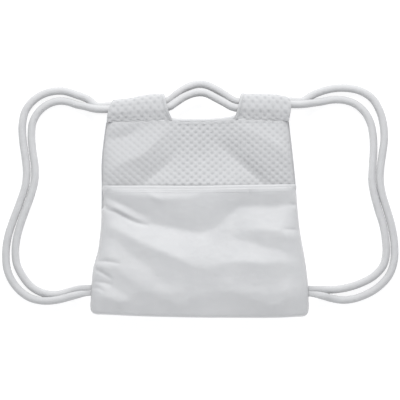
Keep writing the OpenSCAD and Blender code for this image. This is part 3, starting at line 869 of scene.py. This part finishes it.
backSheet = {
    "columns": 110,
    "rows": 104,
    "rowGather": 0.5,
    "columnGather": 0.6,
    "inset": 0.4,
    "level": 0.15,
    "mouth": 6.5,
    "mouthRun": 30,
    "lowRoll": 30,
    "broadCrumple": (2.2, 46, 11.5),
    "fineCrumple": (0.6, 17, 13.5),
    "edgeFade": 20,
    "cut": (315, 284),
    "thickness": 1.0,
}


def makeBack():
    obj, u, v = addGrid("backPanel", backSheet["columns"], backSheet["rows"])
    rows, columns = backSheet["rowGather"], backSheet["columnGather"]  # closer together towards the seams
    share = (1 - np.cos(np.pi * v)) / 2 * rows + v * (1 - rows)
    spread = np.sin(np.pi * (u - 0.5)) / 2 * columns + (u - 0.5) * (1 - columns) + 0.5
    inset = backSheet["inset"]
    x, y, left, right, low = layOut(spread, share, bagShape["bottomLine"], bagShape["topLine"], inset)
    level = backSheet["mouth"] * smoothStep(1 - (bagShape["mouthY"] - y) / backSheet["mouthRun"])
    across, side = sideRise(x, y, left, right)
    rise = across * edgeRise(y - low, backSheet["lowRoll"])
    z = bagShape["rimBack"] + (level - bagShape["rimBack"]) * rise
    lift = np.abs(crumple(x, y, *backSheet["broadCrumple"]))
    lift += np.abs(crumple(x, y, *backSheet["fineCrumple"]))
    fade = smoothStep(side / backSheet["edgeFade"]) * smoothStep((y - low) / backSheet["edgeFade"])
    z += backSheet["level"] + lift * fade
    setPoints(obj, np.stack([x, y, z], axis=1) * mm)
    scaleUv(obj, *backSheet["cut"])
    pick(obj)
    bpy.ops.object.mode_set(mode="EDIT")
    bpy.ops.mesh.select_all(action="SELECT")
    bpy.ops.mesh.flip_normals()
    bpy.ops.object.mode_set(mode="OBJECT")
    finishSheet(obj, satin, backSheet["thickness"], "back_panel")


makeBack()
print("back panel ready")


# drawcord channels, folded from the same knit

channels = {
    "columns": 80,
    "rows": 96,
    "wall": 0.8,
    "hemWidth": 5.0,
    "hemLift": 0.7,
    "hemEdge": 1.2,
    "hemPlain": 2,
    "seamHalf": 2.3,
    "flankPower": 1.15,
    "topPower": 2.4,
    "girth": 46,
    "plainSeam": 4,
    "wrinkle": (0.4, 15),
    "wrinkleFade": 3,
    "puckerLift": 0.3,
    "puckerPitch": 2.1,
    "puckerFade": 8,
    "cut": (86, 88),
    "left": {
        "inner": [
            (118, -38.5), (124, -39.4), (134, -43.4), (145, -47), (152, -48.4), (158, -49.8),
            (164, -52),
        ],
        "outer": [
            (116, -134.6), (121, -134.2), (130, -133.2), (138, -131.6), (146, -128.6), (152, -125.6),
            (157, -120),
        ],
        "top": [(-132, 153.4), (-118, 154.6), (-105, 156.2), (-84, 159.4), (-62, 161.6), (-40, 161.8)],
        "seam": [(-133, 120.8), (-90, 122.2), (-40, 123.4)],
    },
    "right": {
        "inner": [(118, 50.5), (127, 51.2), (137, 54), (145, 56), (152, 57.4), (158, 58.8), (164, 60.4)],
        "outer": [(116, 129), (124, 129.6), (140, 132), (148, 131.8), (155, 129), (160, 124)],
        "top": [(50, 162.2), (90, 161.8), (118, 160.6), (132, 158.2)],
        "seam": [(50, 125.4), (90, 124.2), (130, 122.8)],
    },
    "flareWidth": 7.0,
    "front": {"level": 27.3, "half": 7.0, "wide": (0.45, 0.62), "seed": 5.5, "flare": 0.25},
    "back": {"level": 7.3, "half": 7.1, "wide": (0.56, 0.8), "seed": 8.5, "flare": 0},
}


def channelHalf(q, layer):  # half thickness of a channel, from its seam at 0 to its top fold at 1
    low, high = layer["wide"]
    rise = 1 - (1 - np.clip(q / low, 0, 1)) ** channels["flankPower"]
    flank = channels["seamHalf"] + (layer["half"] - channels["seamHalf"]) * rise
    power = channels["topPower"]
    top = (1 - np.clip((q - high) / (1 - high), 0, 1) ** power) ** (1 / power)
    return flank * top


def makeChannel(face, side):
    shape, layer = channels[side], channels[face]
    obj, u, v = addGrid(face + side.title() + "Channel", channels["columns"], channels["rows"])
    span = shape["top"]
    nominal = span[0][0] + (span[-1][0] - span[0][0]) * u
    seam = throughKnots(nominal, shape["seam"])
    tall = throughKnots(nominal, shape["top"]) - seam
    q = (1 - np.cos(2 * np.pi * v)) / 2  # up the front from the seam, over the top fold and down the back
    front = np.where(v < 0.5, 1, -1)
    closed = np.clip(np.minimum(v, 1 - v) * channels["rows"], 0, 1)
    nudge, steepest = 0.01, 3
    above = channelHalf(np.clip(q + nudge, 0, 1), layer)
    below = channelHalf(np.clip(q - nudge, 0, 1), layer)
    slope = np.clip((above - below) / (2 * nudge) / tall, -steepest, steepest)
    y = seam + tall * q
    first = throughKnots(y, shape["outer"] if side == "left" else shape["inner"])
    last = throughKnots(y, shape["inner"] if side == "left" else shape["outer"])
    x = first + (last - first) * u
    toHem = last - x if side == "left" else x - first
    hemmed = smoothStep((channels["hemWidth"] - toHem) / channels["hemEdge"])
    flare = 1 + layer["flare"] * smoothStep(1 - toHem / channels["flareWidth"])
    half = channelHalf(q, layer) * closed * flare
    arc = channels["girth"] * (0.5 - np.abs(v - 0.5)) * 2
    # painted shade: the dimple mask below sinks the knit and also darkens its colour in the holes
    shadedHole = dimples(x, arc, knit["channelPitch"], knit["channelSlant"])
    shadedHole *= 1 - smoothStep((channels["hemWidth"] + channels["hemPlain"] - toHem) / channels["hemPlain"])
    shadedHole *= smoothStep(arc / channels["plainSeam"]) * smoothStep(front + 1)
    wrinkle = crumple(x, arc * front, *channels["wrinkle"], layer["seed"])
    pucker = channels["puckerLift"] * np.sin(x / channels["puckerPitch"])
    wrinkle += pucker * np.exp(-arc / channels["puckerFade"])
    push = channels["hemLift"] * hemmed * (1 - np.exp(-toHem)) - knit["channelDepth"] * shadedHole
    push += wrinkle * smoothStep(arc / channels["wrinkleFade"]) * smoothStep(front + 1)
    norm = np.sqrt(1 + slope * slope)
    y = y - push * slope / norm
    z = layer["level"] + front * (half + push * closed / norm)
    setPoints(obj, np.stack([x, y, z], axis=1) * mm)
    storeDimpleShade(obj, shadedHole)
    scaleUv(obj, *channels["cut"])
    pick(obj)
    bpy.ops.object.mode_set(mode="EDIT")
    bpy.ops.mesh.select_all(action="SELECT")
    bpy.ops.mesh.remove_doubles(threshold=2e-5)
    bpy.ops.mesh.normals_make_consistent(inside=False)
    bpy.ops.object.mode_set(mode="OBJECT")
    finishSheet(obj, dimpledKnit, channels["wall"], face + "_" + side + "_channel")


for face in ("front", "back"):
    for side in ("left", "right"):
        makeChannel(face, side)
print("channels folded")


# turned edge along the foot of the notch

bindings = {
    "line": [
        (-41.5, 123.4), (-35, 122.4), (-24, 121.9), (0, 121.9), (26, 122.8), (42, 124.6),
        (52.5, 127.2),
    ],
    "above": 1.2,
    "halfWidth": 2.6,
    "halfHeight": 1.6,
    "ripple": 0.06,
    "rippleTurn": 0.8,
    "sides": 16,
    "step": 1.6,
    "levels": {"front": 27.3, "back": 7.1},
}
for face, level in bindings["levels"].items():
    path = smoothPath([(x, y + bindings["above"], level) for x, y in bindings["line"]], bindings["step"])
    ripple = 1 + bindings["ripple"] * np.sin(np.arange(len(path)) * bindings["rippleTurn"])
    width = bindings["halfWidth"] * ripple
    edge = sweepTube(face + "NotchBinding", path, width, bindings["halfHeight"], bindings["sides"])
    giveMaterial(edge, satin)
    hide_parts(face + "_notch_binding")
    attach(edge, "bag")


# tape in the side and bottom seams

tape = {
    "halfWidth": 3.4,
    "halfHeight": 0.75,
    "level": 17.2,
    "inset": 3.5,
    "cordGap": 10.5,
    "cordMiddle": -123,
    "topEnd": 120.5,
    "cornerY": -148.0,
    "bottomHalf": 140,
    "sides": 12,
    "step": 2.5,
}


def sideEdge(side, heights):
    outline = bagShape["leftEdge"] if side < 0 else bagShape["rightEdge"]
    return throughKnots(np.array(heights, float), outline)


def sideTape(side, heights):
    edge = sideEdge(side, heights)
    return [(x - side * tape["inset"], y, tape["level"]) for x, y in zip(edge, heights)]


def cornerTape(side):  # round a bottom corner, from the side to the bottom
    radius = bagShape["corner"]
    middle = sideEdge(side, [tape["cornerY"]])[0] - side * radius
    low = throughKnots(np.array([middle]), bagShape["bottomLine"])[0]
    small = radius - tape["inset"]
    corner = []
    for turn in np.radians([0, 30, 60, 90]):
        x = middle + side * small * math.cos(turn)
        corner.append((x, low + radius - small * math.sin(turn), tape["level"]))
    return corner


def bottomTape():
    lowEnd = tape["cordMiddle"] - tape["cordGap"]
    places = np.linspace(-tape["bottomHalf"], tape["bottomHalf"], 13)
    low = throughKnots(places, bagShape["bottomLine"]) + tape["inset"]
    left = sideTape(-1, [lowEnd]) + cornerTape(-1)
    right = cornerTape(1)[::-1] + sideTape(1, [lowEnd])
    return left + [(x, y, tape["level"]) for x, y in zip(places, low)] + right


upperHeights = np.linspace(tape["cordMiddle"] + tape["cordGap"], tape["topEnd"], 16)
seamLines = {
    "leftSideSeam": (sideTape(-1, upperHeights), "left_side_seam"),
    "rightSideSeam": (sideTape(1, upperHeights), "right_side_seam"),
    "bottomSeam": (bottomTape(), "bottom_seam"),
}
for name, (line, node) in seamLines.items():
    path = smoothPath(line, tape["step"])
    obj = sweepTube(name, path, tape["halfWidth"], tape["halfHeight"], tape["sides"])
    giveMaterial(obj, ribbedTape)
    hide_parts(node)
    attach(obj, "bag")
print("edges and tapes ready")


# rows of stitches, laid on the cloth from above

stitch = {
    "length": 2.6,
    "thick": 0.55,
    "pitch": 3.3,
    "sink": 0.05,
    "step": 1.5,
    "hemDrop": 5.5,
    "hemEnds": 5,
    "tunnelGap": 0.6,
    "meshRows": {
        "leftSeamStitches": [(-131, 117.4), (-90, 118.8), (-44, 119.8)],
        "rightSeamStitches": [(54, 121.8), (90, 120.6), (126, 119.4)],
        "notchStitches": [(-40, 119), (-24, 117.9), (0, 117.8), (26, 118.9), (50, 121)],
    },
}


def restOn(cloth, line):  # the line dropped onto a piece
    path = smoothPath([(x, y, 0) for x, y in line], stitch["step"])
    dropped = []
    for x, y in path[:, :2]:
        hit, place = cloth.ray_cast((x * mm, y * mm, 0.2), (0, 0, -1))[:2]
        if hit:
            dropped.append(place)
    return dropped


def sewRow(name, cloth, line):
    points = restOn(cloth, line)
    clearSelection()
    bpy.ops.curve.primitive_nurbs_path_add()
    thread = bpy.context.object
    thread.data.splines.clear()
    spline = thread.data.splines.new("POLY")
    spline.points.add(len(points) - 1)
    for point, place in zip(spline.points, points):
        point.co = (*place, 1)
    thread.data.twist_mode = "Z_UP"
    clearSelection()
    bpy.ops.mesh.primitive_uv_sphere_add(segments=6, ring_count=4, radius=1)
    row = bpy.context.object
    row.name = name
    row.data.name = name
    co = getPoints(row) * (stitch["length"] / 2, stitch["thick"] / 2, stitch["thick"] / 2)
    setPoints(row, (co + (stitch["length"] / 2, 0, stitch["thick"] / 2 - stitch["sink"])) * mm)
    applyModifier(
        row, "ARRAY", fit_type="FIT_CURVE", curve=thread, use_relative_offset=False,
        use_constant_offset=True, constant_offset_displace=(stitch["pitch"] * mm, 0, 0),
    )
    applyModifier(row, "CURVE", object=thread, deform_axis="POS_X")
    bpy.data.objects.remove(thread)
    shadeSmooth(row)
    giveMaterial(row, sewingThread)
    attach(row, "bag")


hemLine = [(x, y - stitch["hemDrop"]) for x, y in pocket["topLine"]]
hemLine[0] = (hemLine[0][0] + stitch["hemEnds"], hemLine[0][1])
hemLine[-1] = (hemLine[-1][0] - stitch["hemEnds"], hemLine[-1][1])
sewRow("hemStitches", bpy.data.objects["frontPocket"], hemLine)
for name, line in stitch["meshRows"].items():
    sewRow(name, bpy.data.objects["frontPanel"], line)
for side, away in (("left", -1), ("right", 1)):
    inset = away * (channels["hemWidth"] + stitch["tunnelGap"])
    inner = [(x + inset, y) for y, x in channels[side]["inner"]]
    sewRow(side + "TunnelStitches", bpy.data.objects["front" + side.title() + "Channel"], inner[1:-1])
print("stitches sewn")
